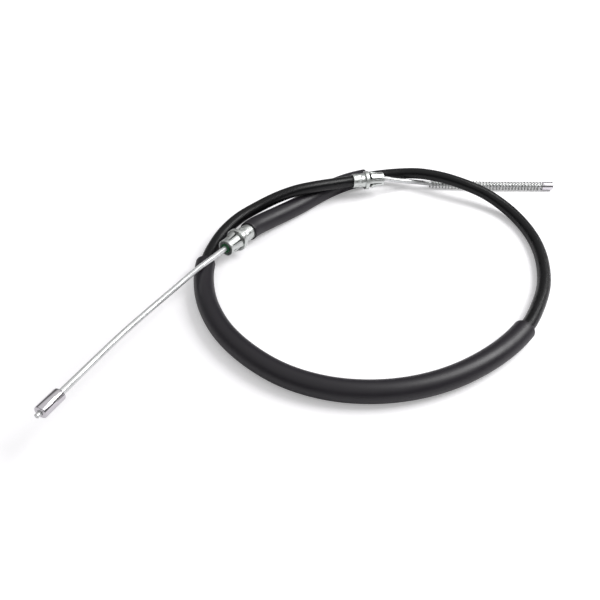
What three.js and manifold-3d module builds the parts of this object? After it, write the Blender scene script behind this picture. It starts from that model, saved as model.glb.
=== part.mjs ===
// Parking brake cable, laid out in one loop on a flat surface.
// Millimetres, +Z up, origin on that surface at the middle of the whole outline.
// A steel strand runs inside a conduit (liner, wound armour, jacket) that ends in two snap-in fittings.

import * as THREE from "three";
import { mergeVertices } from "three/addons/utils/BufferGeometryUtils.js";
import Module from "manifold-3d";

// Clearances
const GAP = 0.3; // between pieces that touch on the real cable
const STRAND_PLAY = 0.35; // strand to the bore that it slides in

// Strand, and its bare core where the coating is stripped for the end stops
const STRAND_D = 4.2;
const STRAND_CORE_D = 3;
const STRAND_TIP = 3; // core that stands out of the barrel

// Conduit layers, from the inside out
const LINER_WALL = 0.45;
const ARMOUR_WIRE = 0.6;
const JACKET_WALL = 0.9;

// Protective sleeves: wall, and where each one ends along the casing, from the mouth at the lever end
const SLEEVE_WALL = 1.1;
const LONG_SLEEVE_BORE = 13.2;
const LONG_SLEEVE_FROM = 481;
const LONG_SLEEVE_TO = 806;
const SHORT_SLEEVE_TO = 176;
const FERRULE_IN_SLEEVE = 7.5; // ferrule length that the short sleeve covers

// Snap-in fittings, measured inwards from the mouth
const LEVER_FITTING = {
  clipD: 13.4, flangeD: 18.6, ferruleD: 13.2, ferruleEnd: 40, fingerTurn: 10, dimpleTurn: 1,
};
const WHEEL_FITTING = {
  clipD: 12.6, flangeD: 16.6, ferruleD: 12.6, ferruleEnd: 29.5, fingerTurn: 30, dimpleTurn: 24,
};
const FLANGE_FRONT = 15;
const FLANGE_THICK = 3;
const FLANGE_CHAMFER = 0.5;
const FLANGE_RIM = 0.3; // how far its rim stands forward, round the rear of the clip
const CONDUIT_SEAT = 20; // where the conduit butts on the shoulder inside the ferrule
const BUSH_D = 7.4;
const BUSH_LENGTH = 12;
const BUSH_PROUD = 0.4;
const RING_THICK = 1.2; // retaining ring round the mouth of the bush

// Finger clip: a sheet tube with four lanced fingers
const CLIP_WALL = 0.8;
const CLIP_FRONT = 0.5;
const FINGERS = 4;
const FINGER_WIDTH = 4.2;
const FINGER_SLOT = 0.8;
const FINGER_ROOT = 3;
const FINGER_REACH = 10; // from its root to its free end
const FINGER_LIFT = 1.7; // how far the free end stands out of the tube
const WINDOW_LENGTH = 10.8;

// Crimp dimples round each ferrule
const DIMPLES = 8;
const DIMPLE_SIZE = 2.6;
const DIMPLE_DEPTH = 0.35;
const DIMPLE_AT = 5; // from the rear of the flange to the middle of the dimples

// End stops
const BARREL_D = 8.5;
const BARREL_LENGTH = 16;
const BUTTON_D = 7.9;
const BUTTON_LENGTH = 10;
const STOP_CHAMFER = 0.6;
const STRAND_SEAT = 1; // depth to which the coated strand enters a stop

// Return spring
const SPRING_D = 8;
const SPRING_WIRE = 1.1;
const SPRING_PITCH = 3;
const SPRING_LENGTH = 105;
const SPRING_STEPS_PER_TURN = 9;
const SPRING_WIRE_SIDES = 5;

// Hidden lengths of strand: inside each mouth, and the part of the bent length that the spring covers
const LEVER_STUB = 12;
const WHEEL_STUB = 30.7;
const SPRING_OVER_BEND = 27;

// Facets
const CONDUIT_SIDES = 10;
const CONDUIT_STEPS = 48; // between the two straight leads
const SLEEVE_SIDES = 12;
const SLEEVE_STEP = 20;
const STRAND_SIDES = 10;
const STRAND_STEP = 8;
const ROUND = 24;

// Mouths of the two fittings, and the directions in which the strand leaves them
const LEVER_MOUTH = new THREE.Vector3(-106, 23, 15.4);
const LEVER_OUT = new THREE.Vector3(-0.507, -0.857, 0.095).normalize();
const WHEEL_MOUTH = new THREE.Vector3(30.5, 129.8, 16);
const WHEEL_OUT = new THREE.Vector3(0.977, 0.213, -0.04).normalize();

// Straight lead into each fitting, as distances inwards from its mouth
const LEVER_LEAD = [0, 14, 28, 42];
const WHEEL_LEAD = [31, 16, 0];

// Route of the conduit between the two leads, from the lever end to the wheel end
const CASING_ROUTE = [
  [-73.5, 71.5, 9.9], [-60.5, 84.2, 8.9], [-46.5, 98, 8.2], [-31.5, 113.5, 8.1], [-16, 127.5, 8.1],
  [1, 139, 8.1], [18, 145.5, 8.6], [34, 147.4, 10], [50, 146.3, 12.1], [66, 141.4, 14.9],
  [84, 132.6, 16.4], [103, 121.6, 15.6], [122, 110, 12.2], [137, 94.5, 7.8], [145.5, 76, 5.7],
  [149.5, 55, 5.1], [149.5, 33, 5.1], [146, 11, 5.1], [139.5, -10.5, 5.4], [129, -32, 6.1],
  [115, -54, 6.6], [97, -73.5, 6.6], [75, -90.5, 6.6], [50.5, -104, 6.6], [24.5, -112.5, 6.6],
  [-2.5, -115.5, 6.6], [-29.5, -112.5, 6.6], [-56, -102.5, 6.6], [-80, -85, 6.6], [-100, -62, 6.6],
  [-113.5, -35, 6.6], [-120, -8, 6.6], [-121, 16, 6.8], [-117.5, 36, 7.4], [-110.5, 54.5, 9.2],
  [-99, 71, 11.8], [-83.5, 83.4, 15], [-66.5, 92.6, 19.1], [-50, 99.2, 21.9], [-33, 105.8, 22.1],
  [-16, 114.5, 19.9],
];

// Strand outside the two mouths, after a straight start at the lever end
const LEVER_STRAIGHT = [17, 34];
const LEVER_ROUTE = [
  [-139.2, -38, 22], [-151.3, -62.5, 24.6], [-162, -85.2, 27], [-172, -108.6, 29.3], [-183.9, -137.1, 32.1],
];
const WHEEL_ROUTE = [
  [33.4, 130.4, 15.9], [41.7, 133.1, 12.9], [50, 136.3, 10.2], [58.1, 138.4, 8.1], [66.1, 139.8, 6.5],
  [74.1, 140.6, 5.2], [80.8, 140.5, 4.5], [88.5, 139.9, 4.4], [100.7, 139, 4.3], [115.8, 137.9, 4.3],
  [134.6, 136.9, 4.3], [158.4, 136.6, 4.3], [184.1, 136.4, 4.3],
];

// Sizes that follow from the ones above
const STRAND_BORE = STRAND_D + 2 * STRAND_PLAY;
const LINER_D = STRAND_BORE + 2 * LINER_WALL;
const ARMOUR_BORE = LINER_D + 2 * GAP;
const ARMOUR_D = ARMOUR_BORE + 2 * ARMOUR_WIRE;
const JACKET_BORE = ARMOUR_D + 2 * GAP;
const JACKET_D = JACKET_BORE + 2 * JACKET_WALL;
const CORNER = 1 / Math.cos(Math.PI / CONDUIT_SIDES); // corner over flat of a faceted tube
const SHORT_SLEEVE_BORE = LEVER_FITTING.ferruleD + 2 * GAP;
const SHORT_SLEEVE_FROM = LEVER_FITTING.ferruleEnd - FERRULE_IN_SLEEVE;
const SLEEVE_LIFT = (LONG_SLEEVE_BORE - JACKET_D) / 2 - GAP - 0.1; // the conduit lies low in the long sleeve

const COLOURS = {
  jacket: [0x17171a, 0.38, 0],
  sleeve: [0x2a2730, 0.75, 0],
  steel: [0x9aa0a2, 0.35, 0.9],
  zinc: [0xc9ceca, 0.4, 0.85],
  strand: [0xd2d6d6, 0.32, 0.8],
  chrome: [0xb9babd, 0.15, 1],
  bush: [0x2f7d46, 0.5, 0],
  liner: [0xe8e4d8, 0.5, 0],
};

const wasm = await Module();
wasm.setup();

const cable = new THREE.Group();
cable.name = "parking_brake_cable";

function material(name) {
  const [color, roughness, metalness] = COLOURS[name];
  return new THREE.MeshStandardMaterial({ color, roughness, metalness });
}

function addPiece(parent, name, geometry, finish) {
  const mesh = new THREE.Mesh(geometry, material(finish));
  mesh.name = name;
  parent.add(mesh);
  return mesh;
}

// A closed geometry as a solid that can be cut or joined, and back again.
function toSolid(geometry) {
  const bare = geometry.clone();
  bare.deleteAttribute("normal");
  bare.deleteAttribute("uv");
  const merged = mergeVertices(bare, 1e-4);
  const vertProperties = new Float32Array(merged.attributes.position.array);
  const triVerts = new Uint32Array(merged.index.array);
  return new wasm.Manifold(new wasm.Mesh({ numProp: 3, vertProperties, triVerts }));
}

function toGeometry(solid) {
  const mesh = solid.getMesh();
  const geometry = new THREE.BufferGeometry();
  geometry.setAttribute("position", new THREE.BufferAttribute(mesh.vertProperties, 3));
  geometry.setIndex(new THREE.BufferAttribute(mesh.triVerts, 1));
  geometry.computeVertexNormals();
  return geometry;
}

// Even distances along a route.
function stations(from, to, steps) {
  return Array.from({ length: steps + 1 }, (_, i) => from + (i / steps) * (to - from));
}

// A stretch of a smooth route, with a corner at each of the given distances along it. Its frames stay
// level, so a faceted tube has a flat at its top and bottom all the way.
class Stretch extends THREE.Curve {
  constructor(route, distances, lift = 0) {
    super();
    Object.assign(this, { route, distances, lift });
  }
  getPoint(t) {
    const last = this.distances.length - 1;
    const index = Math.min(Math.floor(t * last), last - 1);
    const [from, to] = this.distances.slice(index, index + 2);
    const distance = THREE.MathUtils.lerp(from, to, t * last - index);
    const share = THREE.MathUtils.clamp(distance / this.route.getLength(), 0, 1);
    return this.route.getPointAt(share).add(new THREE.Vector3(0, 0, this.lift));
  }
  getPointAt(t) {
    return this.getPoint(t);
  }
  computeFrenetFrames(steps) {
    const tangents = [];
    const normals = [];
    const binormals = [];
    const up = new THREE.Vector3(0, 0, 1);
    const nudge = 1e-4;
    for (let i = 0; i <= steps; i++) {
      const before = this.getPoint(Math.max(i / steps - nudge, 0));
      const after = this.getPoint(Math.min(i / steps + nudge, 1));
      const tangent = after.sub(before).normalize();
      const normal = new THREE.Vector3().crossVectors(up, tangent).normalize();
      tangents.push(tangent);
      normals.push(normal);
      binormals.push(new THREE.Vector3().crossVectors(tangent, normal));
    }
    return { tangents, normals, binormals };
  }
}

function smoothRoute(points) {
  const route = new THREE.CatmullRomCurve3(points, false, "centripetal");
  route.arcLengthDivisions = 2000;
  return route;
}

// Corners of a regular section whose flats are at the true radius, with a flat at its top.
function corners(radius, sides) {
  const outer = radius / Math.cos(Math.PI / sides);
  return Array.from({ length: sides }, (_, i) => {
    const angle = Math.PI / 2 + ((i + 0.5) * 2 * Math.PI) / sides;
    return new THREE.Vector2(outer * Math.cos(angle), outer * Math.sin(angle));
  });
}

// A solid rod along a stretch, or a tube where it has a bore.
function sweep(stretch, diameter, bore, sides) {
  const shape = new THREE.Shape(corners(diameter / 2, sides));
  if (bore > 0) shape.holes.push(new THREE.Path(corners(bore / 2, sides)));
  const steps = stretch.distances.length - 1;
  return new THREE.ExtrudeGeometry(shape, { steps, extrudePath: stretch, bevelEnabled: false });
}

// A turned piece from [radius, distance along the axis] corners, listed up the bore and down the outside.
function turned(outline) {
  const points = [...outline, outline[0]].map(([radius, along]) => new THREE.Vector2(radius, along));
  return new THREE.LatheGeometry(points.reverse(), ROUND);
}

// A group whose +Y runs along a direction and whose +X stays level.
function alongAxis(origin, direction) {
  const group = new THREE.Group();
  const level = new THREE.Vector3(0, 0, 1).cross(direction).normalize();
  const third = new THREE.Vector3().crossVectors(level, direction);
  group.quaternion.setFromRotationMatrix(new THREE.Matrix4().makeBasis(level, direction, third));
  group.position.copy(origin);
  cable.add(group);
  return group;
}

// The same box or strip, set round the Y axis at equal angles from a first one at +X.
function roundAxis(geometry, count, firstDegrees) {
  return Array.from({ length: count }, (_, i) => {
    const angle = THREE.MathUtils.degToRad(firstDegrees + (i * 360) / count);
    return toSolid(geometry.clone().rotateY(-angle));
  });
}

// Ferrule: nose, flange and crimped skirt, turned in one piece.
function ferrule(fitting) {
  const nose = fitting.clipD / 2 - CLIP_WALL - GAP;
  const flange = fitting.flangeD / 2;
  const skirt = fitting.ferruleD / 2;
  const noseBore = BUSH_D / 2 + GAP;
  const conduitBore = (JACKET_D / 2) * CORNER + GAP;
  const rear = FLANGE_FRONT + FLANGE_THICK;
  const rim = FLANGE_FRONT - FLANGE_RIM;
  const rebate = fitting.clipD / 2 + GAP;
  const noseFront = CLIP_FRONT + RING_THICK + GAP;
  const body = turned([
    [noseBore, noseFront],
    [noseBore, CONDUIT_SEAT - GAP],
    [conduitBore, CONDUIT_SEAT - GAP],
    [conduitBore, fitting.ferruleEnd],
    [skirt - DIMPLE_DEPTH, fitting.ferruleEnd],
    [skirt, fitting.ferruleEnd - DIMPLE_DEPTH],
    [skirt, rear],
    [flange - FLANGE_CHAMFER, rear],
    [flange, rear - FLANGE_CHAMFER],
    [flange, rim + FLANGE_CHAMFER],
    [flange - FLANGE_CHAMFER, rim],
    [rebate, rim],
    [rebate, FLANGE_FRONT],
    [nose, FLANGE_FRONT],
    [nose, noseFront],
  ]);
  const dimple = new THREE.BoxGeometry(2 * DIMPLE_DEPTH, DIMPLE_SIZE, DIMPLE_SIZE);
  dimple.translate(skirt, rear + DIMPLE_AT, 0);
  let solid = toSolid(body);
  for (const cut of roundAxis(dimple, DIMPLES, fitting.dimpleTurn)) solid = solid.subtract(cut);
  return toGeometry(solid);
}

// Finger clip: a tube with windows, and in each window a finger that rises towards the flange.
function fingerClip(fitting) {
  const outer = fitting.clipD / 2;
  const inner = outer - CLIP_WALL;
  const rear = FLANGE_FRONT - GAP;
  const tube = turned([
    [inner, CLIP_FRONT],
    [inner, rear],
    [outer, rear],
    [outer, CLIP_FRONT + CLIP_WALL / 2],
    [outer - CLIP_WALL / 2, CLIP_FRONT],
  ]);
  const windowWidth = FINGER_WIDTH + 2 * FINGER_SLOT;
  const window = new THREE.BoxGeometry(4 * CLIP_WALL, WINDOW_LENGTH, windowWidth);
  window.translate(outer, FINGER_ROOT + WINDOW_LENGTH / 2, 0);
  const root = FINGER_ROOT - CLIP_WALL;
  const knee = FINGER_ROOT + FINGER_REACH / 4;
  const tip = FINGER_ROOT + FINGER_REACH;
  const inset = CLIP_WALL / 8; // keeps the finger's faces off the tube's own faces
  const strip = new THREE.Shape([
    new THREE.Vector2(inner + inset, root),
    new THREE.Vector2(outer - inset, root),
    new THREE.Vector2(outer + inset, knee),
    new THREE.Vector2(outer + FINGER_LIFT, tip),
    new THREE.Vector2(outer + FINGER_LIFT - CLIP_WALL, tip),
    new THREE.Vector2(inner + inset, knee),
  ]);
  const finger = new THREE.ExtrudeGeometry(strip, { depth: FINGER_WIDTH, bevelEnabled: false });
  finger.translate(0, 0, -FINGER_WIDTH / 2);
  let solid = toSolid(tube);
  for (const cut of roundAxis(window, FINGERS, fitting.fingerTurn)) solid = solid.subtract(cut);
  for (const part of roundAxis(finger, FINGERS, fitting.fingerTurn)) solid = solid.add(part);
  return toGeometry(solid);
}

function bush() {
  return turned([
    [STRAND_BORE / 2, -BUSH_PROUD],
    [STRAND_BORE / 2, BUSH_LENGTH],
    [BUSH_D / 2, BUSH_LENGTH],
    [BUSH_D / 2, -BUSH_PROUD / 2],
    [BUSH_D / 2 - BUSH_PROUD / 2, -BUSH_PROUD],
  ]);
}

function retainingRing(fitting) {
  const outer = fitting.clipD / 2 - CLIP_WALL - GAP;
  const inner = BUSH_D / 2 + GAP;
  const edge = RING_THICK / 4;
  return turned([
    [inner, CLIP_FRONT],
    [inner, CLIP_FRONT + RING_THICK],
    [outer, CLIP_FRONT + RING_THICK],
    [outer, CLIP_FRONT + edge],
    [outer - edge, CLIP_FRONT],
  ]);
}

function addFitting(fitting, place, mouth, outwards) {
  const group = alongAxis(mouth, outwards.clone().negate());
  addPiece(group, `ferrule_${place}`, ferrule(fitting), "zinc");
  addPiece(group, `finger_clip_${place}`, fingerClip(fitting), "zinc");
  addPiece(group, `retaining_ring_${place}`, retainingRing(fitting), "steel");
  addPiece(group, `bush_${place}`, bush(), "bush");
}

function coatedStrand(route, from, to) {
  const steps = Math.round((to - from) / STRAND_STEP);
  return sweep(new Stretch(route, stations(from, to, steps)), STRAND_D, 0, STRAND_SIDES);
}

// The strand up to the end of its route: coated, then bare core into its end stop.
function strandEnd(route, from, coreLength) {
  const coated = coatedStrand(route, from, route.getLength());
  const end = route.getPointAt(1);
  const direction = route.getTangentAt(1);
  const overlap = STRAND_D / 4;
  const start = end.clone().addScaledVector(direction, -overlap);
  const stop = end.clone().addScaledVector(direction, coreLength);
  const core = new Stretch(new THREE.LineCurve3(start, stop), [0, coreLength + overlap]);
  const solid = toSolid(coated).add(toSolid(sweep(core, STRAND_CORE_D, 0, STRAND_SIDES)));
  return toGeometry(solid);
}

// A turned stop on the end of the strand, bored for the bare core behind a seat for the coated strand.
function endStop(diameter, length, boreLength) {
  const bore = (STRAND_CORE_D / 2) * CORNER + GAP;
  const seat = (STRAND_D / 2) * CORNER + GAP;
  const outer = diameter / 2;
  const through = boreLength >= length;
  const outline = [
    [outer - STOP_CHAMFER, 0],
    [seat, 0],
    [seat, STRAND_SEAT],
    [bore, STRAND_SEAT],
    [bore, through ? length : boreLength],
    ...(through ? [] : [[0, boreLength], [0, length]]),
    [outer - STOP_CHAMFER, length],
    [outer, length - STOP_CHAMFER],
    [outer, STOP_CHAMFER],
  ];
  return turned(outline);
}

// A coil round a route, with its wire's middle at a fixed radius.
class Helix extends THREE.Curve {
  constructor(axis, radius, turns) {
    super();
    Object.assign(this, { axis, radius, turns });
  }
  getPoint(t) {
    const nudge = 1e-3;
    const before = this.axis.getPoint(Math.max(t - nudge, 0));
    const tangent = this.axis.getPoint(Math.min(t + nudge, 1)).sub(before).normalize();
    const side = new THREE.Vector3(0, 0, 1).cross(tangent).normalize();
    const top = new THREE.Vector3().crossVectors(tangent, side);
    const angle = 2 * Math.PI * this.turns * t;
    return this.axis
      .getPoint(t)
      .addScaledVector(side, this.radius * Math.cos(angle))
      .addScaledVector(top, this.radius * Math.sin(angle));
  }
}

const leverLead = LEVER_LEAD.map((inwards) => LEVER_MOUTH.clone().addScaledVector(LEVER_OUT, -inwards));
const wheelLead = WHEEL_LEAD.map((inwards) => WHEEL_MOUTH.clone().addScaledVector(WHEEL_OUT, -inwards));
const loop = CASING_ROUTE.map((point) => new THREE.Vector3(...point));
const casingRoute = smoothRoute([...leverLead, ...loop, ...wheelLead]);
const casingLength = casingRoute.getLength();

// Conduit: three nested layers with the same corners, and the strand inside them
const leverLeadEnd = LEVER_LEAD.at(-1);
const wheelLeadEnd = casingLength - WHEEL_LEAD[0];
const conduitBends = [
  CONDUIT_SEAT,
  ...stations(leverLeadEnd, wheelLeadEnd, CONDUIT_STEPS),
  casingLength - CONDUIT_SEAT,
];
const conduit = new Stretch(casingRoute, conduitBends);
const inside = new Stretch(casingRoute, conduitBends.slice(1, -1));
addPiece(cable, "jacket", sweep(conduit, JACKET_D, JACKET_BORE, CONDUIT_SIDES), "jacket");
addPiece(cable, "armour", sweep(conduit, ARMOUR_D, ARMOUR_BORE, CONDUIT_SIDES), "steel");
addPiece(cable, "liner", sweep(conduit, LINER_D, STRAND_BORE, CONDUIT_SIDES), "liner");
addPiece(cable, "strand_inside", sweep(inside, STRAND_D, 0, CONDUIT_SIDES), "strand");

// Sleeves: the short one starts straight, on the ferrule
function addSleeve(name, bore, distances, lift) {
  const stretch = new Stretch(casingRoute, distances, lift);
  addPiece(cable, name, sweep(stretch, bore + 2 * SLEEVE_WALL, bore, SLEEVE_SIDES), "sleeve");
}
function sleeveStations(from, to) {
  return stations(from, to, Math.round((to - from) / SLEEVE_STEP));
}
const shortBends = [SHORT_SLEEVE_FROM, ...sleeveStations(leverLeadEnd, SHORT_SLEEVE_TO)];
addSleeve("sleeve_short", SHORT_SLEEVE_BORE, shortBends, 0);
addSleeve("sleeve_long", LONG_SLEEVE_BORE, sleeveStations(LONG_SLEEVE_FROM, LONG_SLEEVE_TO), SLEEVE_LIFT);

addFitting(LEVER_FITTING, "lever_end", LEVER_MOUTH, LEVER_OUT);
addFitting(WHEEL_FITTING, "wheel_end", WHEEL_MOUTH, WHEEL_OUT);

// Lever end: strand, then the barrel with the core standing out of it
const leverRoute = smoothRoute([
  LEVER_MOUTH.clone().addScaledVector(LEVER_OUT, -LEVER_STUB),
  LEVER_MOUTH,
  ...LEVER_STRAIGHT.map((outwards) => LEVER_MOUTH.clone().addScaledVector(LEVER_OUT, outwards)),
  ...LEVER_ROUTE.map((point) => new THREE.Vector3(...point)),
]);
const stopStart = GAP - STRAND_SEAT; // from the end of the coated strand
const leverCore = stopStart + BARREL_LENGTH + STRAND_TIP;
addPiece(cable, "strand_lever_end", strandEnd(leverRoute, 0, leverCore), "strand");
const leverTip = leverRoute.getPointAt(1);
const leverTipOut = leverRoute.getTangentAt(1);
const barrelGroup = alongAxis(leverTip.addScaledVector(leverTipOut, stopStart), leverTipOut);
addPiece(barrelGroup, "barrel_lever_end", endStop(BARREL_D, BARREL_LENGTH, BARREL_LENGTH), "chrome");

// Wheel end: bent strand, then inside the spring a straight length that carries the button
const wheelRoute = smoothRoute([
  WHEEL_MOUTH.clone().addScaledVector(WHEEL_OUT, -WHEEL_STUB),
  WHEEL_MOUTH.clone().addScaledVector(WHEEL_OUT, -STRAND_STEP),
  WHEEL_MOUTH,
  ...WHEEL_ROUTE.map((point) => new THREE.Vector3(...point)),
]);
const wheelLength = wheelRoute.getLength();
const buttonBore = BUTTON_LENGTH * 0.8;
const springEnd = wheelLength - STRAND_SEAT - SPRING_WIRE / 2;
const meeting = springEnd - SPRING_LENGTH + SPRING_OVER_BEND;
addPiece(cable, "strand_wheel_bend", coatedStrand(wheelRoute, 0, meeting), "strand");
const buttonCore = buttonBore - STRAND_SEAT;
addPiece(cable, "strand_wheel_end", strandEnd(wheelRoute, meeting + GAP, buttonCore), "strand");
const wheelTip = wheelRoute.getPointAt(1);
const wheelTipOut = wheelRoute.getTangentAt(1);
const buttonGroup = alongAxis(wheelTip.addScaledVector(wheelTipOut, stopStart), wheelTipOut);
addPiece(buttonGroup, "button_wheel_end", endStop(BUTTON_D, BUTTON_LENGTH, buttonBore), "steel");

const springAxis = new Stretch(wheelRoute, [springEnd - SPRING_LENGTH, springEnd]);
const turns = SPRING_LENGTH / SPRING_PITCH;
const coil = new Helix(springAxis, (SPRING_D - SPRING_WIRE) / 2, turns);
const wire = new THREE.Shape(corners(SPRING_WIRE / 2, SPRING_WIRE_SIDES));
const springSteps = Math.round(turns * SPRING_STEPS_PER_TURN);
const wound = { steps: springSteps, extrudePath: coil, bevelEnabled: false };
const spring = new THREE.ExtrudeGeometry(wire, wound);
addPiece(cable, "return_spring", spring, "zinc");

// Origin under the middle of the whole outline
const outline = new THREE.Box3().setFromObject(cable, true);
const middle = outline.getCenter(new THREE.Vector3());
cable.position.set(-middle.x, -middle.y, -outline.min.z);

export default cable;
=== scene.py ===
"""A parking brake cable laid out in one loop on a white surface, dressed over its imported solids."""

import math

import bmesh
import bpy
import numpy as np
from mathutils import Matrix


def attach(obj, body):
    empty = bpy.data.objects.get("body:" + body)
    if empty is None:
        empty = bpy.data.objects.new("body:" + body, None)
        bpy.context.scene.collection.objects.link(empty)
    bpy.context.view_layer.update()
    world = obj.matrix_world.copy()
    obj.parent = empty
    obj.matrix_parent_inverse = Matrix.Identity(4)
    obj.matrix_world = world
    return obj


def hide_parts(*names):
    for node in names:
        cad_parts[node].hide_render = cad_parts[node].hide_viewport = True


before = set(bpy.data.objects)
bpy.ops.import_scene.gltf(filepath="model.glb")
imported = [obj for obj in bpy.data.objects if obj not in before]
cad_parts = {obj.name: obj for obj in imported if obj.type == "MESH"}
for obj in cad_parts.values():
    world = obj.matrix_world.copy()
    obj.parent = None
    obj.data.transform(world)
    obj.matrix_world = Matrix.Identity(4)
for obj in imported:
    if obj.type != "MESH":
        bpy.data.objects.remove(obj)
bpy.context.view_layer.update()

SHARP_ANGLE = 32
QUARTER_TURN = [math.radians(angle) for angle in (0, 30, 60, 90)]

# Every size below is in millimetres, in the frame that the cable was laid out in.
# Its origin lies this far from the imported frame's.
LAYOUT_SHIFT = np.array([0.005, 0.918, -0.071])
MM = 0.001

# The strand, conduit and sleeves
STRAND_D = 4.2
STRAND_CORE_D = 3.0
CONDUIT_D = 10.0
CONDUIT_BORE = 8.2
SLEEVE_WALL = 1.1
LONG_SLEEVE_BORE = 13.2
LONG_SLEEVE_LIFT = 1.2  # the conduit lies low in it
LONG_SLEEVE = (481, 806)
SHORT_SLEEVE_BORE = 13.8
SHORT_SLEEVE = (32.5, 176)
CONDUIT_SEAT = 20  # inwards from each mouth, where the conduit butts inside the ferrule
PLAY = 0.3  # between pieces that touch on the real cable

# The two snap-in fittings, measured inwards from the mouth
LEVER_FITTING = dict(clip=13.4, flange=18.6, ferrule=13.2, end=40, finger_turn=10, dimple_turn=1)
WHEEL_FITTING = dict(clip=12.6, flange=16.6, ferrule=12.6, end=29.5, finger_turn=30, dimple_turn=24)
FLANGE = (15, 18)
FLANGE_RIM = 0.3  # how far its rim stands forward, round the rear of the clip
FERRULE_EDGE = 0.35
CONDUIT_PLAY = 0.35  # conduit to the ferrule's skirt
CLIP_WALL = 0.8
CLIP_FRONT = 0.5
CLIP_EDGE = 0.25
WINDOW = (3, 14.1)
WINDOW_WIDTH = 5.6
WINDOW_CUT = 4  # how far its cutter reaches across the wall of the clip
FINGERS = 4
FINGER = (2.4, 13.0)
FINGER_WIDTH = 4.2
FINGER_LIFT = 1.7
FINGER_FLAT = 0.22  # share of its reach that stays down at the root
FINGER_CURVE = 1.3
FINGER_TRIM_FROM = 0.86  # share of its reach from which it narrows
FINGER_TRIM = 0.16
FINGER_ROUND = 0.35
BUSH_D = 7.4
BUSH_BORE = 4.9
BUSH_LENGTH = 12
BUSH_PROUD = 0.4
BUSH_EDGE = 0.25
RING_THICK = 1.2
RING_EDGE = 0.2

# The crimp on each ferrule's skirt, measured from the rear of the flange
DIMPLES = 8
DIMPLE_AT = 5
DIMPLE_HALF = 1.0
DIMPLE_SLOPE = 0.7
DIMPLE_DEPTH = 0.42
GROOVE_AT = 1.6
GROOVE_WIDTH = 0.35
GROOVE_DEPTH = 0.12
SKIRT_STEP = 0.45  # between the skirt's rows of points, fine enough for the dimples

# Painted shade: a dark sleeve on the nose of the ferrule stands in for the shade seen through the windows
NOSE_SHADE_SPAN = (3, 14.9)
NOSE_SHADE_CLEAR = 0.05
NOSE_SHADE_OUT = 0.17

# The end stops and the return spring
BARREL_D = 8.5
BARREL_LENGTH = 16
CORE_STANDS_OUT = 3
STRAND_SEAT = 1  # depth to which the coated strand enters a stop
BUTTON_D = 7.9
BUTTON_LENGTH = 10
BUTTON_BORE_LENGTH = BUTTON_LENGTH * 0.8
STOP_EDGE = 0.6
CORE_BACK = 1  # how far the bare core reaches back into the coated strand
CORE_EDGE = 0.2
SPRING_D = 8.0
SPRING_WIRE = 1.1
SPRING_PITCH = 3.0
SPRING_LENGTH = 105
SPRING_SAMPLES_PER_TURN = 20
SPRING_OVER_BEND = 27
LEVER_STUB = 12
WHEEL_STUB = 30.7

# Mouths of the two fittings, the directions in which the strand leaves them, and the routes
LEVER_MOUTH, LEVER_OUT = np.array([-106, 23, 15.4]), np.array([-0.507, -0.857, 0.095])
WHEEL_MOUTH, WHEEL_OUT = np.array([30.5, 129.8, 16]), np.array([0.977, 0.213, -0.04])
LEVER_OUT = LEVER_OUT / np.linalg.norm(LEVER_OUT)
WHEEL_OUT = WHEEL_OUT / np.linalg.norm(WHEEL_OUT)
CASING_ROUTE = [
    *[LEVER_MOUTH - LEVER_OUT * inwards for inwards in (0, 14, 28, 42)],
    (-73.5, 71.5, 9.9), (-60.5, 84.2, 8.9), (-46.5, 98, 8.2), (-31.5, 113.5, 8.1), (-16, 127.5, 8.1),
    (1, 139, 8.1), (18, 145.5, 8.6), (34, 147.4, 10), (50, 146.3, 12.1), (66, 141.4, 14.9),
    (84, 132.6, 16.4), (103, 121.6, 15.6), (122, 110, 12.2), (137, 94.5, 7.8), (145.5, 76, 5.7),
    (149.5, 55, 5.1), (149.5, 33, 5.1), (146, 11, 5.1), (139.5, -10.5, 5.4), (129, -32, 6.1),
    (115, -54, 6.6), (97, -73.5, 6.6), (75, -90.5, 6.6), (50.5, -104, 6.6), (24.5, -112.5, 6.6),
    (-2.5, -115.5, 6.6), (-29.5, -112.5, 6.6), (-56, -102.5, 6.6), (-80, -85, 6.6), (-100, -62, 6.6),
    (-113.5, -35, 6.6), (-120, -8, 6.6), (-121, 16, 6.8), (-117.5, 36, 7.4), (-110.5, 54.5, 9.2),
    (-99, 71, 11.8), (-83.5, 83.4, 15), (-66.5, 92.6, 19.1), (-50, 99.2, 21.9), (-33, 105.8, 22.1),
    (-16, 114.5, 19.9),
    *[WHEEL_MOUTH - WHEEL_OUT * inwards for inwards in (31, 16, 0)],
]
LEVER_ROUTE = [
    *[LEVER_MOUTH + LEVER_OUT * outwards for outwards in (-LEVER_STUB, 0, 17, 34)],
    (-139.2, -38, 22), (-151.3, -62.5, 24.6), (-162, -85.2, 27), (-172, -108.6, 29.3),
    (-183.9, -137.1, 32.1),
]
WHEEL_ROUTE = [
    *[WHEEL_MOUTH + WHEEL_OUT * outwards for outwards in (-WHEEL_STUB, -8, 0)],
    (33.4, 130.4, 15.9), (41.7, 133.1, 12.9), (50, 136.3, 10.2), (58.1, 138.4, 8.1), (66.1, 139.8, 6.5),
    (74.1, 140.6, 5.2), (80.8, 140.5, 4.5), (88.5, 139.9, 4.4), (100.7, 139, 4.3), (115.8, 137.9, 4.3),
    (134.6, 136.9, 4.3), (158.4, 136.6, 4.3), (184.1, 136.4, 4.3),
]


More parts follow.
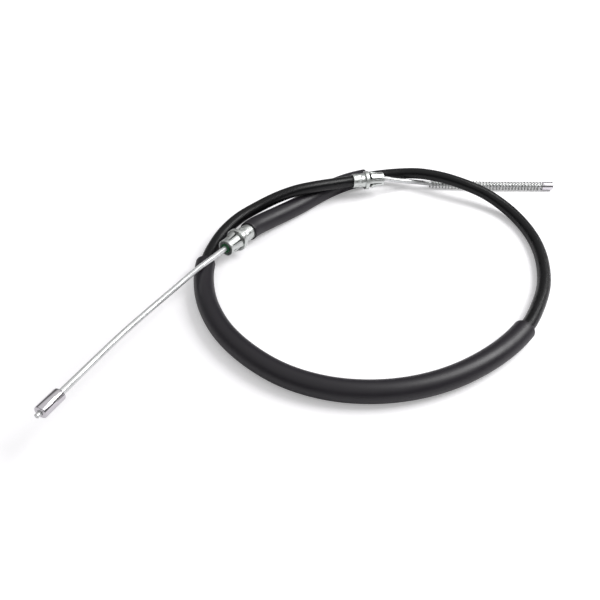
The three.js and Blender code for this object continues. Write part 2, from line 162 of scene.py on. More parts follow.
class Route:
    """A smooth line through points, walked by distance. Past its ends it goes straight on."""

    def __init__(self, points, steps=24):
        p = np.array(points, float)
        p = np.vstack([2 * p[0] - p[1], p, 2 * p[-1] - p[-2]])
        fine = []
        for a, b, c, d in zip(p, p[1:], p[2:], p[3:]):
            t1 = np.linalg.norm(b - a) ** 0.5
            t2 = t1 + np.linalg.norm(c - b) ** 0.5
            t3 = t2 + np.linalg.norm(d - c) ** 0.5
            for t in np.linspace(t1, t2, steps, endpoint=False):
                ab = ((t1 - t) * a + t * b) / t1
                bc = ((t2 - t) * b + (t - t1) * c) / (t2 - t1)
                cd = ((t3 - t) * c + (t - t2) * d) / (t3 - t2)
                abc = ((t2 - t) * ab + t * bc) / t2
                bcd = ((t3 - t) * bc + (t - t1) * cd) / (t3 - t1)
                fine.append(((t2 - t) * abc + (t - t1) * bcd) / (t2 - t1))
        self.points = np.array([*fine, p[-2]])
        walked = np.linalg.norm(np.diff(self.points, axis=0), axis=1)
        self.walked = np.concatenate([[0], np.cumsum(walked)])
        self.length = self.walked[-1]

    def at(self, distance, lift=0.0):
        inside = min(max(distance, 0), self.length)
        here = np.array([np.interp(inside, self.walked, self.points[:, k]) for k in range(3)])
        here = here + self.heading(inside) * (distance - inside)
        return here + np.array([0, 0, lift])

    def heading(self, distance):
        inside = min(max(distance, 0), self.length)
        near = np.clip([inside - 0.4, inside + 0.4], 0, self.length)
        ends = [[np.interp(d, self.walked, self.points[:, k]) for k in range(3)] for d in near]
        way = np.subtract(ends[1], ends[0])
        return way / np.linalg.norm(way)

    def frame(self, distance):
        """Sideways and upwards at a distance, both square to the line."""
        way = self.heading(distance)
        side = np.cross([0, 0, 1], way)
        side = side / np.linalg.norm(side)
        return side, np.cross(way, side)


def straight(origin, direction, length=60):
    return Route([origin, np.asarray(origin) + np.asarray(direction) * length])


def packed(points):
    """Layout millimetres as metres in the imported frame."""
    return (np.asarray(points, float) + LAYOUT_SHIFT) * MM


def linked(name, data):
    made = bpy.data.objects.new(name, data)
    bpy.context.scene.collection.objects.link(made)
    return made


def shade(mesh, sharp=SHARP_ANGLE):
    mesh.shade_smooth()
    mesh.set_sharp_from_angle(angle=math.radians(sharp))


def mended(piece, merge=False):
    """The piece with its faces turned outwards, and with points that coincide joined where merge is set."""
    shape = bmesh.new()
    shape.from_mesh(piece.data)
    if merge:
        bmesh.ops.remove_doubles(shape, verts=shape.verts, dist=1e-7)
        bmesh.ops.dissolve_degenerate(shape, edges=shape.edges, dist=1e-8)
    bmesh.ops.recalc_face_normals(shape, faces=shape.faces)
    shape.to_mesh(piece.data)
    shape.free()
    return piece


def mesh_object(name, vertices, faces, uvs=None, sharp=SHARP_ANGLE):
    mesh = bpy.data.meshes.new(name)
    mesh.from_pydata([tuple(v) for v in vertices], [], faces)
    if uvs is not None:
        layer = mesh.uv_layers.new(name="UVMap")
        layer.data.foreach_set("uv", np.asarray(uvs, float).ravel())
    shade(mesh, sharp)
    return linked(name, mesh)


def spun(name, route, profile, sides=48, bored=True, lift=0.0, shaped=None, sharp=SHARP_ANGLE):
    """A round piece along a route from (distance, radius) pairs. With a bore the profile closes on itself;
    without one it starts and ends on the axis. shaped(distance, angle, radius) may change a radius."""
    vertices = []
    angles = np.arange(sides) * 2 * math.pi / sides
    for distance, radius in profile:
        centre = route.at(distance, lift)
        side, up = route.frame(distance)
        for angle in angles:
            r = shaped(distance, angle, radius) if shaped else radius
            vertices.append(centre + (side * math.cos(angle) + up * math.sin(angle)) * r)
    rows = len(profile)
    faces, uvs = [], []
    for row in range(rows if bored else rows - 1):
        following = (row + 1) % rows
        for k in range(sides):
            beside = (k + 1) % sides
            near, far = row * sides, following * sides
            faces.append((near + k, near + beside, far + beside, far + k))
            low, high = profile[row][0] * MM, profile[following][0] * MM
            uvs += [(k / sides, low), ((k + 1) / sides, low), ((k + 1) / sides, high), (k / sides, high)]
    return mended(mesh_object(name, packed(vertices), faces, uvs, sharp), merge=True)


def even(start, end, spacing):
    return list(np.linspace(start, end, max(2, round(abs(end - start) / spacing) + 1)))


def rod_profile(start, end, radius, spacing, edge=0.3):
    """A solid rod with slightly rounded ends."""
    along = [(d, radius) for d in even(start + edge, end - edge, spacing)]
    return [(start, 0), (start, radius - edge), *along, (end, radius - edge), (end, 0)]


def rounded_edges(start, end, outer, size):
    """The two outer edges of a round piece, each as a quarter turn from its face to its side or back."""
    near = [(start + size * (1 - math.sin(a)), outer - size * (1 - math.cos(a))) for a in QUARTER_TURN[::-1]]
    far = [(end - size * (1 - math.sin(a)), outer - size * (1 - math.cos(a))) for a in QUARTER_TURN]
    return near, far


def pipe_profile(start, end, bore, wall, spacing, round_over):
    """A tube whose cut ends are rounded over."""
    outer, inner = bore / 2 + wall, bore / 2
    lip_in, lip_out = rounded_edges(start, end, outer, round_over)
    far, near = end - round_over, start + round_over
    along = [(d, outer) for d in even(near, far, spacing)[1:-1]]
    back = [(d, inner) for d in even(end, start, spacing)]
    return [*lip_in, *along, *lip_out, *back]


# Finishes. The effects that several of them share are groups.


def node_group(name, inputs, outputs, kind_of_tree="ShaderNodeTree"):
    tree = bpy.data.node_groups.new(name, kind_of_tree)
    for label, kind, value in inputs:
        socket = tree.interface.new_socket(label, in_out="INPUT", socket_type=kind)
        if value is not None:
            socket.default_value = value
    for label, kind in outputs:
        tree.interface.new_socket(label, in_out="OUTPUT", socket_type=kind)
    return tree, tree.nodes.new("NodeGroupInput"), tree.nodes.new("NodeGroupOutput")


def calculate(tree, operation, first, second=None, third=None):
    node = tree.nodes.new("ShaderNodeMath")
    node.operation = operation
    for socket, value in zip(node.inputs, (first, second, third)):
        if value is None:
            continue
        if isinstance(value, (int, float)):
            socket.default_value = value
        else:
            tree.links.new(value, socket)
    return node.outputs[0]


def make_ridges():
    """Ridges wound round a tube, read from its UV map: across is a share of a turn, along is in metres."""
    tree, inlet, outlet = node_group(
        "wound_ridges",
        [("UV", "NodeSocketVector", None), ("Ridges per Metre", "NodeSocketFloat", 800.0),
         ("Starts", "NodeSocketFloat", 1.0), ("Sharpness", "NodeSocketFloat", 1.0)],
        [("Height", "NodeSocketFloat")],
    )
    parts = tree.nodes.new("ShaderNodeSeparateXYZ")
    tree.links.new(inlet.outputs["UV"], parts.inputs[0])
    across = calculate(tree, "MULTIPLY", parts.outputs["X"], inlet.outputs["Starts"])
    turns = calculate(tree, "MULTIPLY_ADD", parts.outputs["Y"], inlet.outputs["Ridges per Metre"], across)
    wave = calculate(tree, "SINE", calculate(tree, "MULTIPLY", turns, math.pi))
    crest = calculate(tree, "POWER", calculate(tree, "ABSOLUTE", wave), inlet.outputs["Sharpness"])
    tree.links.new(crest, outlet.inputs["Height"])
    return tree


def make_mottle():
    """Cloudy and fine variation over a surface."""
    tree, inlet, outlet = node_group(
        "surface_mottle",
        [("Vector", "NodeSocketVector", None), ("Cloud Scale", "NodeSocketFloat", 120.0),
         ("Grain Scale", "NodeSocketFloat", 2500.0), ("Low", "NodeSocketFloat", 0.3),
         ("High", "NodeSocketFloat", 0.5)],
        [("Cloud", "NodeSocketFloat"), ("Grain", "NodeSocketFloat"), ("Roughness", "NodeSocketFloat")],
    )
    cloud = tree.nodes.new("ShaderNodeTexNoise")
    grain = tree.nodes.new("ShaderNodeTexNoise")
    for noise, scale in ((cloud, "Cloud Scale"), (grain, "Grain Scale")):
        tree.links.new(inlet.outputs["Vector"], noise.inputs["Vector"])
        tree.links.new(inlet.outputs[scale], noise.inputs["Scale"])
    cloud.inputs["Detail"].default_value = 3
    spread = tree.nodes.new("ShaderNodeMapRange")
    spread.inputs["From Min"].default_value = 0.3
    spread.inputs["From Max"].default_value = 0.7
    tree.links.new(cloud.outputs["Fac"], spread.inputs["Value"])
    tree.links.new(inlet.outputs["Low"], spread.inputs["To Min"])
    tree.links.new(inlet.outputs["High"], spread.inputs["To Max"])
    tree.links.new(cloud.outputs["Fac"], outlet.inputs["Cloud"])
    tree.links.new(grain.outputs["Fac"], outlet.inputs["Grain"])
    tree.links.new(spread.outputs["Result"], outlet.inputs["Roughness"])
    return tree


RIDGES = make_ridges()
MOTTLE = make_mottle()


def finish(name, dark, light, roughness, metallic=0.0, grain=0.0, cloud_scale=120.0, grain_scale=2500.0,
           ridges=None, specular=0.5):
    """A finish whose colour and gloss drift between two values.
    ridges is (per metre, starts, sharpness, depth)."""
    made = bpy.data.materials.new(name)
    made.use_nodes = True
    tree = made.node_tree
    shader = tree.nodes["Principled BSDF"]
    shader.inputs["Metallic"].default_value = metallic
    shader.inputs["Specular IOR Level"].default_value = specular
    place = tree.nodes.new("ShaderNodeTexCoord")
    mottle = tree.nodes.new("ShaderNodeGroup")
    mottle.node_tree = MOTTLE
    tree.links.new(place.outputs["Object"], mottle.inputs["Vector"])
    mottle.inputs["Cloud Scale"].default_value = cloud_scale
    mottle.inputs["Grain Scale"].default_value = grain_scale
    mottle.inputs["Low"].default_value, mottle.inputs["High"].default_value = roughness
    blend = tree.nodes.new("ShaderNodeMix")
    blend.data_type = "RGBA"
    blend.inputs["A"].default_value = (*dark, 1)
    blend.inputs["B"].default_value = (*light, 1)
    tree.links.new(mottle.outputs["Cloud"], blend.inputs["Factor"])
    tree.links.new(blend.outputs["Result"], shader.inputs["Base Color"])
    tree.links.new(mottle.outputs["Roughness"], shader.inputs["Roughness"])
    last = None
    if grain:
        fine = tree.nodes.new("ShaderNodeBump")
        fine.inputs["Distance"].default_value = grain * MM
        tree.links.new(mottle.outputs["Grain"], fine.inputs["Height"])
        last = fine.outputs["Normal"]
    if ridges:
        per_metre, starts, sharpness, depth = ridges
        wound = tree.nodes.new("ShaderNodeGroup")
        wound.node_tree = RIDGES
        wound.inputs["Ridges per Metre"].default_value = per_metre
        wound.inputs["Starts"].default_value = starts
        wound.inputs["Sharpness"].default_value = sharpness
        tree.links.new(place.outputs["UV"], wound.inputs["UV"])
        raised = tree.nodes.new("ShaderNodeBump")
        raised.inputs["Distance"].default_value = depth * MM
        tree.links.new(wound.outputs["Height"], raised.inputs["Height"])
        if last:
            tree.links.new(last, raised.inputs["Normal"])
        last = raised.outputs["Normal"]
    if last:
        tree.links.new(last, shader.inputs["Normal"])
    return made


JACKET = finish("jacket_black", (0.0025, 0.0025, 0.003), (0.005, 0.005, 0.006), (0.26, 0.36), grain=0.01,
                ridges=(760, 1, 0.6, 0.09), specular=0.3)
SLEEVE = finish("sleeve_rubber", (0.0085, 0.0068, 0.0105), (0.0135, 0.011, 0.016), (0.4, 0.47), grain=0.015,
                cloud_scale=60, grain_scale=3500, specular=0.5)
ZINC = finish("zinc_plate", (0.62, 0.65, 0.63), (0.85, 0.87, 0.85), (0.26, 0.48), metallic=1.0, grain=0.03,
              cloud_scale=420, grain_scale=2600)
# Painted shade: the dark finish of the sleeve on each ferrule's nose
SHADE = finish("nose_shade", (0.03, 0.032, 0.03), (0.05, 0.052, 0.05), (0.5, 0.6), metallic=0.5)
RING_STEEL = finish("ring_steel", (0.22, 0.24, 0.23), (0.36, 0.38, 0.36), (0.35, 0.5), metallic=1.0,
                    grain=0.02)
STRAND = finish("strand_coated", (0.72, 0.73, 0.73), (0.84, 0.85, 0.85), (0.25, 0.35), metallic=0.6,
                ridges=(30, 7, 0.8, 0.05), cloud_scale=300)
SPRING_STEEL = finish("spring_wire", (0.42, 0.43, 0.42), (0.62, 0.63, 0.61), (0.22, 0.34), metallic=1.0,
                      grain=0.01)
POLISHED = finish("polished_stop", (0.70, 0.67, 0.71), (0.80, 0.78, 0.81), (0.1, 0.18), metallic=1.0,
                  cloud_scale=200)
BUSH_GREEN = finish("bush_green", (0.012, 0.10, 0.035), (0.02, 0.15, 0.05), (0.4, 0.5), grain=0.02)
ARMOUR = finish("armour_wire", (0.28, 0.30, 0.31), (0.42, 0.44, 0.45), (0.3, 0.45), metallic=1.0, grain=0.03)
LINER = finish("liner_natural", (0.72, 0.69, 0.61), (0.82, 0.79, 0.72), (0.4, 0.5), grain=0.01)


def dress(piece, material, body, slot, *nodes):
    piece.data.materials.clear()
    piece.data.materials.append(material)
    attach(piece, body)
    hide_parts(*nodes)
    return piece


# Camera, in front of the cable and looking down on it

CAMERA_AT = (-46.5, -347.5, 294)
CAMERA_LOOKS_DOWN = 42

camera_data = bpy.data.cameras.new("camera")
camera_data.lens = 34.86
camera_data.sensor_width = 36
camera_data.clip_start = 0.02
camera = linked("camera", camera_data)
camera.location = packed(CAMERA_AT)
camera.rotation_euler = (math.radians(90 - CAMERA_LOOKS_DOWN), 0, 0)
bpy.context.scene.camera = camera


# Cords: the conduit with its sleeves, and the strand's visible lengths

casing = Route(CASING_ROUTE)
lever_line = Route(LEVER_ROUTE)
wheel_line = Route(WHEEL_ROUTE)

conduit_wall = (CONDUIT_D - CONDUIT_BORE) / 2
conduit_form = pipe_profile(CONDUIT_SEAT, casing.length - CONDUIT_SEAT, CONDUIT_BORE, conduit_wall, 2.4, 0.3)
conduit = spun("conduit", casing, conduit_form, sides=40)
dress(conduit, JACKET, "casing", "jacket", "jacket")

long_form = pipe_profile(*LONG_SLEEVE, LONG_SLEEVE_BORE, SLEEVE_WALL, 2.6, 0.5)
long_sleeve = spun("long_sleeve", casing, long_form, sides=56, lift=LONG_SLEEVE_LIFT)
dress(long_sleeve, SLEEVE, "casing", "sleeve", "sleeve_long")
short_form = pipe_profile(*SHORT_SLEEVE, SHORT_SLEEVE_BORE, SLEEVE_WALL, 2.6, 0.5)
short_sleeve = spun("short_sleeve", casing, short_form, sides=56)
dress(short_sleeve, SLEEVE, "casing", "sleeve", "sleeve_short")

spring_to = wheel_line.length - STRAND_SEAT - SPRING_WIRE / 2
spring_from = spring_to - SPRING_LENGTH
meeting = spring_from + SPRING_OVER_BEND
lever_form = rod_profile(0, lever_line.length, STRAND_D / 2, 2)
lever_strand = spun("lever_strand", lever_line, lever_form, sides=32, bored=False)
bent_form = rod_profile(0, meeting, STRAND_D / 2, 1.6)
bent_strand = spun("bent_strand", wheel_line, bent_form, sides=32, bored=False)
button_form = rod_profile(meeting + PLAY, wheel_line.length, STRAND_D / 2, 2)
button_strand = spun("button_strand", wheel_line, button_form, sides=32, bored=False)


def along(route, start, end, spacing=3.0):
    return [tuple(p) for p in packed([route.at(d) for d in even(start, end, spacing)])]


# The fittings at the two mouths


def fitting_place(mouth, outwards):
    """From a fitting's own frame, +Z inwards from the mouth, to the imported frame."""
    inwards = -outwards
    side = np.cross([0, 0, 1], inwards)
    side = side / np.linalg.norm(side)
    up = np.cross(inwards, side)
    axes = np.column_stack([side, up, inwards])
    place = Matrix([[*row, offset] for row, offset in zip(axes, packed(mouth))])
    place.resize_4x4()
    return place


def geometry_group(name, *inputs):
    """A tree that takes a piece, the inputs and a finish, and gives the piece that it makes."""
    taken = [("Geometry", "NodeSocketGeometry"), *inputs, ("Finish", "NodeSocketMaterial")]
    given = [("Geometry", "NodeSocketGeometry")]
    return node_group(name, [(*each, None) for each in taken], given, "GeometryNodeTree")


def give_real(tree, made, inlet, outlet):
    """The end of a geometry tree: what it made as real geometry, in its finish."""
    real = tree.nodes.new("GeometryNodeRealizeInstances")
    tree.links.new(made, real.inputs[0])
    painted = tree.nodes.new("GeometryNodeSetMaterial")
    tree.links.new(real.outputs[0], painted.inputs["Geometry"])
    tree.links.new(inlet.outputs["Finish"], painted.inputs["Material"])
    tree.links.new(painted.outputs[0], outlet.inputs[0])


def make_ring_tree():
    """Copies of a piece set round the Z axis at equal angles."""
    tree, inlet, outlet = geometry_group(
        "round_the_axis", ("Copies", "NodeSocketInt"), ("First Turn", "NodeSocketFloat")
    )
    spots = tree.nodes.new("GeometryNodePoints")
    tree.links.new(inlet.outputs["Copies"], spots.inputs["Count"])
    index = tree.nodes.new("GeometryNodeInputIndex")
    share = calculate(tree, "DIVIDE", index.outputs[0], inlet.outputs["Copies"])
    turn = calculate(tree, "MULTIPLY_ADD", share, 2 * math.pi, inlet.outputs["First Turn"])
    spin = tree.nodes.new("ShaderNodeCombineXYZ")
    tree.links.new(turn, spin.inputs["Z"])
    copies = tree.nodes.new("GeometryNodeInstanceOnPoints")
    tree.links.new(spots.outputs[0], copies.inputs["Points"])
    tree.links.new(inlet.outputs["Geometry"], copies.inputs["Instance"])
    tree.links.new(spin.outputs[0], copies.inputs["Rotation"])
    give_real(tree, copies.outputs[0], inlet, outlet)
    return tree


def make_coil_tree():
    """A wire wound round a curve at an even pitch."""
    tree, inlet, outlet = geometry_group(
        "wound_wire", ("Coil Radius", "NodeSocketFloat"), ("Wire Radius", "NodeSocketFloat"),
        ("Pitch", "NodeSocketFloat"), ("Samples", "NodeSocketInt"),
    )
    upright = tree.nodes.new("GeometryNodeSetCurveNormal")
    upright.mode = "Z_UP"
    tree.links.new(inlet.outputs["Geometry"], upright.inputs["Curve"])
    fine = tree.nodes.new("GeometryNodeResampleCurve")
    tree.links.new(upright.outputs[0], fine.inputs["Curve"])
    tree.links.new(inlet.outputs["Samples"], fine.inputs["Count"])
    place = tree.nodes.new("GeometryNodeSplineParameter")
    turns = calculate(tree, "DIVIDE", place.outputs["Length"], inlet.outputs["Pitch"])
    angle = calculate(tree, "MULTIPLY", turns, 2 * math.pi)
    normal = tree.nodes.new("GeometryNodeInputNormal")
    tangent = tree.nodes.new("GeometryNodeInputTangent")
    across = tree.nodes.new("ShaderNodeVectorMath")
    across.operation = "CROSS_PRODUCT"
    tree.links.new(tangent.outputs[0], across.inputs[0])
    tree.links.new(normal.outputs[0], across.inputs[1])
    reach = []
    for direction, wave in ((normal.outputs[0], "COSINE"), (across.outputs[0], "SINE")):
        size = calculate(tree, "MULTIPLY", calculate(tree, wave, angle), inlet.outputs["Coil Radius"])
        scaled = tree.nodes.new("ShaderNodeVectorMath")
        scaled.operation = "SCALE"
        tree.links.new(direction, scaled.inputs[0])
        tree.links.new(size, scaled.inputs["Scale"])
        reach.append(scaled.outputs[0])
    total = tree.nodes.new("ShaderNodeVectorMath")
    tree.links.new(reach[0], total.inputs[0])
    tree.links.new(reach[1], total.inputs[1])
    moved = tree.nodes.new("GeometryNodeSetPosition")
    tree.links.new(fine.outputs[0], moved.inputs["Geometry"])
    tree.links.new(total.outputs[0], moved.inputs["Offset"])
    section = tree.nodes.new("GeometryNodeCurvePrimitiveCircle")
    section.inputs["Resolution"].default_value = 10
    tree.links.new(inlet.outputs["Wire Radius"], section.inputs["Radius"])
    wire = tree.nodes.new("GeometryNodeCurveToMesh")
    wire.inputs["Fill Caps"].default_value = True
    tree.links.new(moved.outputs[0], wire.inputs["Curve"])
    tree.links.new(section.outputs[0], wire.inputs["Profile Curve"])
    smooth = tree.nodes.new("GeometryNodeSetShadeSmooth")
    tree.links.new(wire.outputs[0], smooth.inputs["Geometry"])
    give_real(tree, smooth.outputs[0], inlet, outlet)
    return tree


def grown(source, tree, name, place=None, **inputs):
    """The plain mesh that a geometry tree makes from source, which is removed."""
    modifier = source.modifiers.new(tree.name, "NODES")
    modifier.node_group = tree
    for item in tree.interface.items_tree:
        if item.in_out == "INPUT" and item.name in inputs:
            modifier[item.identifier] = inputs[item.name]
    bpy.context.view_layer.update()
    evaluated = source.evaluated_get(bpy.context.evaluated_depsgraph_get())
    mesh = bpy.data.meshes.new_from_object(evaluated)
    mesh.name = name
    if place:
        mesh.transform(place)
    source.modifiers.remove(modifier)
    bpy.data.objects.remove(source)
    return linked(name, mesh)


ROUND_THE_AXIS = make_ring_tree()
WOUND_WIRE = make_coil_tree()


def finger(name, fitting):
    """One lanced finger, rising from its root to its free end, with rounded free corners."""
    outer = fitting["clip"] / 2
    vertices, faces = [], []
    stations = np.linspace(0, 1, 12)
    columns = np.linspace(-1, 1, 9)
    root, tip = FINGER
    for layer in (0, 1):
        for share in stations:
            rise = max(0.0, share - FINGER_FLAT) / (1 - FINGER_FLAT)
            r = outer + FINGER_LIFT * rise ** FINGER_CURVE - layer * CLIP_WALL
            trim = max(0.0, share - FINGER_TRIM_FROM) / (1 - FINGER_TRIM_FROM)
            trimmed = 1 - FINGER_TRIM * trim ** 2
            for column in columns:
                angle = column * trimmed * FINGER_WIDTH / 2 / outer
                rounded = FINGER_ROUND * abs(column) ** 4 if share == stations[-1] else 0
                reach = root + share * (tip - root) - rounded
                vertices.append((r * math.cos(angle) * MM, r * math.sin(angle) * MM, reach * MM))
    n, m = len(stations), len(columns)

    def corner(layer, i, j):
        return (layer * n + i) * m + j

    for i in range(n - 1):
        for j in range(m - 1):
            for layer in (0, 1):
                flat = (corner(layer, i, j), corner(layer, i, j + 1),
                        corner(layer, i + 1, j + 1), corner(layer, i + 1, j))
                faces.append(flat)
        for j, flip in ((0, False), (m - 1, True)):
            side = (corner(0, i, j), corner(0, i + 1, j), corner(1, i + 1, j), corner(1, i, j))
            faces.append(side[::-1] if flip else side)
    for j in range(m - 1):
        for i, flip in ((0, True), (n - 1, False)):
            end = (corner(0, i, j), corner(0, i, j + 1), corner(1, i, j + 1), corner(1, i, j))
            faces.append(end[::-1] if flip else end)
    return mended(mesh_object(name, vertices, faces))


def windows(name, fitting):
    """The cutter for the windows of a finger clip, in the fitting's own frame."""
    made = bmesh.new()
    for copy in range(FINGERS):
        turn = -math.radians(fitting["finger_turn"] + 360 / FINGERS * copy)
        size = Matrix.Diagonal((WINDOW_CUT * MM, WINDOW_WIDTH * MM, (WINDOW[1] - WINDOW[0]) * MM, 1))
        shift = Matrix.Translation((fitting["clip"] / 2 * MM, 0, sum(WINDOW) / 2 * MM))
        bmesh.ops.create_cube(made, size=1, matrix=Matrix.Rotation(turn, 4, "Z") @ shift @ size)
    mesh = bpy.data.meshes.new(name)
    made.to_mesh(mesh)
    made.free()
    return linked(name, mesh)


def cut(piece, cutter):
    boolean = piece.modifiers.new("cut", "BOOLEAN")
    boolean.operation = "DIFFERENCE"
    boolean.solver = "EXACT"
    boolean.object = cutter
    bpy.context.view_layer.update()
    mesh = bpy.data.meshes.new_from_object(piece.evaluated_get(bpy.context.evaluated_depsgraph_get()))
    piece.modifiers.remove(boolean)
    bpy.data.objects.remove(cutter)
    mesh.name = piece.data.name
    piece.data = mesh
    shade(mesh)
    return piece


def bevelled(corners, size):
    """The same closed profile with each corner cut back by size, or by less on a short side."""
    points = np.array(corners, float)
    smooth = []
    for before, here, after in zip(np.roll(points, 1, 0), points, np.roll(points, -1, 0)):
        for other in (before, after):
            gap = np.linalg.norm(other - here)
            smooth.append(tuple(here + (other - here) * min(size, gap * 0.3) / gap))
    return smooth


def nose_radius(fitting):
    """Outside of the ferrule's nose, which the clip goes round."""
    return fitting["clip"] / 2 - CLIP_WALL - PLAY


def ferrule_profile(fitting):
    nose, rebate = nose_radius(fitting), fitting["clip"] / 2 + PLAY
    flange, skirt = fitting["flange"] / 2, fitting["ferrule"] / 2
    bore, seat = BUSH_D / 2 + PLAY, CONDUIT_D / 2 + CONDUIT_PLAY
    front, rim, shoulder = CLIP_FRONT + RING_THICK + PLAY, FLANGE[0] - FLANGE_RIM, CONDUIT_SEAT - PLAY
    corners = [
        (front, bore), (front, nose), (FLANGE[0], nose), (FLANGE[0], rebate), (rim, rebate),
        (rim, flange), (FLANGE[1], flange), (FLANGE[1], skirt), (fitting["end"], skirt),
        (fitting["end"], seat), (shoulder, seat), (shoulder, bore),
    ]
    profile = bevelled(corners, FERRULE_EDGE)
    fine = []
    for (d0, r0), (d1, r1) in zip(profile, profile[1:] + profile[:1]):
        long_skirt = abs(r0 - r1) < 1e-6 and r0 > seat + 0.1 and d1 - d0 > 4 and d0 > FLANGE[1] - 0.1
        fine += [(d, r0) for d in even(d0, d1, SKIRT_STEP)[:-1]] if long_skirt else [(d0, r0)]
    return fine


def crimped(fitting):
    """The ferrule's skirt pressed in at a row of square dimples and one shallow groove."""
    skirt = fitting["ferrule"] / 2

    def shaped(distance, angle, radius):
        if radius < skirt - 0.01 or not FLANGE[1] < distance < fitting["end"]:
            return radius
        spread = math.radians(360 / DIMPLES)
        turn = (-angle - math.radians(fitting["dimple_turn"]) + spread / 2) % spread - spread / 2
        off = max(abs(turn) * skirt, abs(distance - FLANGE[1] - DIMPLE_AT)) - DIMPLE_HALF
        press = min(1.0, max(0.0, 0.5 - off / DIMPLE_SLOPE))
        groove = math.exp(-((distance - FLANGE[1] - GROOVE_AT) / GROOVE_WIDTH) ** 2)
        return radius - DIMPLE_DEPTH * press * press * (3 - 2 * press) - GROOVE_DEPTH * groove

    return shaped


def washer(start, end, inner, outer):
    """The profile of a plain ring."""
    return [(start, inner), (start, outer), (end, outer), (end, inner)]


def build_fitting(end, fitting, mouth, outwards):
    line = straight(mouth, -outwards)
    place = fitting_place(mouth, outwards)
    ferrule = spun(f"{end}_ferrule", line, ferrule_profile(fitting), sides=120,
                   shaped=crimped(fitting), sharp=40)
    dress(ferrule, ZINC, "casing", "zinc", f"ferrule_{end}_end")
    nose = nose_radius(fitting)
    # Painted shade on the nose, seen through the clip's windows
    nose_shade_form = washer(*NOSE_SHADE_SPAN, nose + NOSE_SHADE_CLEAR, nose + NOSE_SHADE_OUT)
    dress(spun(f"{end}_nose_shade", line, nose_shade_form, sides=72), SHADE, "casing", "ring", f"ferrule_{end}_end")

    outer = fitting["clip"] / 2
    inner = outer - CLIP_WALL
    clip = bevelled(washer(CLIP_FRONT, FLANGE[0] - PLAY, inner, outer), CLIP_EDGE)
    shell = spun(f"{end}_clip_shell", line, clip, sides=96)
    cutter = windows("cutter", fitting)
    cutter.data.transform(place)
    cut(shell, cutter)
    dress(shell, ZINC, "casing", "zinc", f"finger_clip_{end}_end")
    first_turn = -math.radians(fitting["finger_turn"])
    fingers = grown(finger("finger", fitting), ROUND_THE_AXIS, f"{end}_clip_fingers", place,
                    Copies=FINGERS, Finish=ZINC, **{"First Turn": first_turn})
    dress(fingers, ZINC, "casing", "zinc", f"finger_clip_{end}_end")

    ring_form = washer(CLIP_FRONT, CLIP_FRONT + RING_THICK, BUSH_D / 2 + PLAY, inner - PLAY)
    ring = spun(f"{end}_ring", line, bevelled(ring_form, RING_EDGE), sides=72)
    dress(ring, RING_STEEL, "casing", "ring", f"retaining_ring_{end}_end")
    bush_form = washer(-BUSH_PROUD, BUSH_LENGTH, BUSH_BORE / 2, BUSH_D / 2)
    bush = spun(f"{end}_bush", line, bevelled(bush_form, BUSH_EDGE), sides=64)
    dress(bush, BUSH_GREEN, "casing", "bush", f"bush_{end}_end")


build_fitting("lever", LEVER_FITTING, LEVER_MOUTH, LEVER_OUT)
build_fitting("wheel", WHEEL_FITTING, WHEEL_MOUTH, WHEEL_OUT)


# End stops, and the strand's bare core in them


def stop_profile(diameter, length, bore_length):
    """A stop with a seat for the coated strand, bored through or, with a shorter bore, blind."""
    bore, seat = STRAND_CORE_D / 2 + PLAY, STRAND_D / 2 + PLAY
    mouth = [(STRAND_SEAT, bore), (STRAND_SEAT, seat), (0, seat)]
    near, far = rounded_edges(0, length, diameter / 2, STOP_EDGE)
    if bore_length >= length:
        return [*mouth, *near, *far, (length, bore)]
    return [(bore_length, 0), (bore_length, bore), *mouth, *near, *far, (length, 0)]


lever_tip, lever_way = lever_line.at(lever_line.length), lever_line.heading(lever_line.length)
wheel_tip, wheel_way = wheel_line.at(wheel_line.length), wheel_line.heading(wheel_line.length)
stop_start = PLAY - STRAND_SEAT
barrel_line = straight(lever_tip + lever_way * stop_start, lever_way)
barrel = spun("barrel", barrel_line, stop_profile(BARREL_D, BARREL_LENGTH, BARREL_LENGTH), sides=72)
dress(barrel, POLISHED, "lever_end", "stop", "barrel_lever_end")
button_line = straight(wheel_tip + wheel_way * stop_start, wheel_way)
button_shape = stop_profile(BUTTON_D, BUTTON_LENGTH, BUTTON_BORE_LENGTH)
button = spun("button", button_line, button_shape, sides=72, bored=False)
dress(button, POLISHED, "wheel_end", "stop", "button_wheel_end")

core_end = stop_start + BARREL_LENGTH + CORE_STANDS_OUT
core_form = rod_profile(-CORE_BACK, core_end, STRAND_CORE_D / 2, 2, CORE_EDGE)
lever_core = spun("lever_core", straight(lever_tip, lever_way), core_form, sides=24, bored=False)
core_form = rod_profile(-CORE_BACK, BUTTON_BORE_LENGTH - STRAND_SEAT, STRAND_CORE_D / 2, 2, CORE_EDGE)
button_core = spun("button_core", straight(wheel_tip, wheel_way), core_form, sides=24, bored=False)
dress(lever_strand, STRAND, "lever_end", "strand", "strand_lever_end")
dress(lever_core, STRAND, "lever_end", "strand", "strand_lever_end")
dress(bent_strand, STRAND, "casing", "strand", "strand_wheel_bend")
dress(button_strand, STRAND, "wheel_end", "strand", "strand_wheel_end")
dress(button_core, STRAND, "wheel_end", "strand", "strand_wheel_end")


# Return spring

spring_path = bpy.data.curves.new("spring_path", "CURVE")
spring_path.dimensions = "3D"
spline = spring_path.splines.new("POLY")
spring_points = along(wheel_line, spring_from, spring_to, 1.5)
spline.points.add(len(spring_points) - 1)
for point, position in zip(spline.points, spring_points):
    point.co = (*position, 1)
spring_sizes = {"Coil Radius": (SPRING_D - SPRING_WIRE) / 2 * MM, "Wire Radius": SPRING_WIRE / 2 * MM}
spring = grown(linked("spring_path", spring_path), WOUND_WIRE, "spring", Pitch=SPRING_PITCH * MM,
               Samples=int(SPRING_LENGTH / SPRING_PITCH * SPRING_SAMPLES_PER_TURN),
               Finish=SPRING_STEEL, **spring_sizes)
dress(spring, SPRING_STEEL, "wheel_end", "zinc", "return_spring")
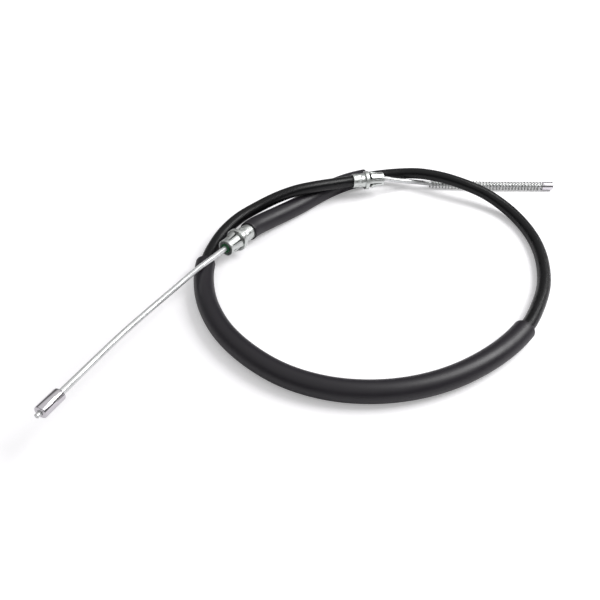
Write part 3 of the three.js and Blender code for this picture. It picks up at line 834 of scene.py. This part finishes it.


# Points along each cord's line, which nothing here keeps

along(casing, CONDUIT_SEAT, casing.length - CONDUIT_SEAT)
along(lever_line, 0, lever_line.length)
along(wheel_line, 0, meeting)
along(wheel_line, meeting + PLAY, wheel_line.length)


# The pieces that stay as solids, all inside the conduit

for node, material in (("armour", ARMOUR), ("liner", LINER), ("strand_inside", STRAND)):
    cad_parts[node].data.materials.clear()
    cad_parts[node].data.materials.append(material)


# Surface, sky and lamp, in metres

SURFACE_HALF = 6

surface_mesh = bpy.data.meshes.new("surface")
surface_corners = [(x * SURFACE_HALF, y * SURFACE_HALF, 0) for x, y in ((-1, -1), (1, -1), (1, 1), (-1, 1))]
surface_mesh.from_pydata(surface_corners, [], [(0, 1, 2, 3)])
surface = linked("surface", surface_mesh)
white = bpy.data.materials.new("white_surface")
white.use_nodes = True
tree = white.node_tree
shader = tree.nodes["Principled BSDF"]
shader.inputs["Base Color"].default_value = (0.86, 0.85, 0.87, 1)
shader.inputs["Roughness"].default_value = 0.6
shader.inputs["Specular IOR Level"].default_value = 0.2
seen = tree.nodes.new("ShaderNodeLightPath")
spot = tree.nodes.new("ShaderNodeTexCoord")
away = tree.nodes.new("ShaderNodeVectorMath")
away.operation = "LENGTH"
tree.links.new(spot.outputs["Object"], away.inputs[0])
whiter = tree.nodes.new("ShaderNodeMapRange")
for label, value in (("From Min", 0.22), ("From Max", 0.9), ("To Min", 0.3), ("To Max", 1.0)):
    whiter.inputs[label].default_value = value
tree.links.new(away.outputs["Value"], whiter.inputs["Value"])
glow = calculate(tree, "MULTIPLY", whiter.outputs["Result"], seen.outputs["Is Camera Ray"])
tree.links.new(glow, shader.inputs["Emission Strength"])
shader.inputs["Emission Color"].default_value = (1, 1, 1, 1)
surface.data.materials.append(white)

world = bpy.data.worlds.new("studio")
bpy.context.scene.world = world
world.use_nodes = True
sky = world.node_tree
sky.nodes.clear()
direction = sky.nodes.new("ShaderNodeTexCoord")
parts = sky.nodes.new("ShaderNodeSeparateXYZ")
sky.links.new(direction.outputs["Generated"], parts.inputs[0])
ramp = sky.nodes.new("ShaderNodeValToRGB")
ramp.color_ramp.elements[0].position, ramp.color_ramp.elements[0].color = 0.0, (0.3, 0.3, 0.3, 1)
ramp.color_ramp.elements[1].position, ramp.color_ramp.elements[1].color = 1.0, (1.0, 1.0, 1.0, 1)
for height, level in ((0.12, 0.22), (0.3, 0.12), (0.5, 0.3), (0.7, 0.95)):
    stop = ramp.color_ramp.elements.new(height)
    stop.color = (level, level, level, 1)
sky.links.new(parts.outputs["Z"], ramp.inputs[0])
around = sky.nodes.new("ShaderNodeBackground")
around.inputs["Strength"].default_value = 0.7
sky.links.new(ramp.outputs[0], around.inputs["Color"])
backdrop = sky.nodes.new("ShaderNodeBackground")
backdrop.inputs["Color"].default_value = (1, 1, 1, 1)
chosen = sky.nodes.new("ShaderNodeMixShader")
path = sky.nodes.new("ShaderNodeLightPath")
sky.links.new(path.outputs["Is Camera Ray"], chosen.inputs[0])
sky.links.new(around.outputs[0], chosen.inputs[1])
sky.links.new(backdrop.outputs[0], chosen.inputs[2])
outlet = sky.nodes.new("ShaderNodeOutputWorld")
sky.links.new(chosen.outputs[0], outlet.inputs["Surface"])


def lamp(name, place, aim, size, watts):
    data = bpy.data.lights.new(name, "AREA")
    data.shape = "RECTANGLE"
    data.size, data.size_y = size
    data.energy = watts
    made = linked(name, data)
    made.location = place
    way = np.subtract(aim, place)
    flat = math.hypot(way[0], way[1])
    made.rotation_euler = (math.atan2(flat, -way[2]), 0, math.atan2(way[0], way[1]) * -1)
    return made


lamp("right", (0.68, 0.12, 0.8), (0, 0, 0), (0.6, 0.6), 9.0)

bpy.context.scene.view_settings.view_transform = "Standard"
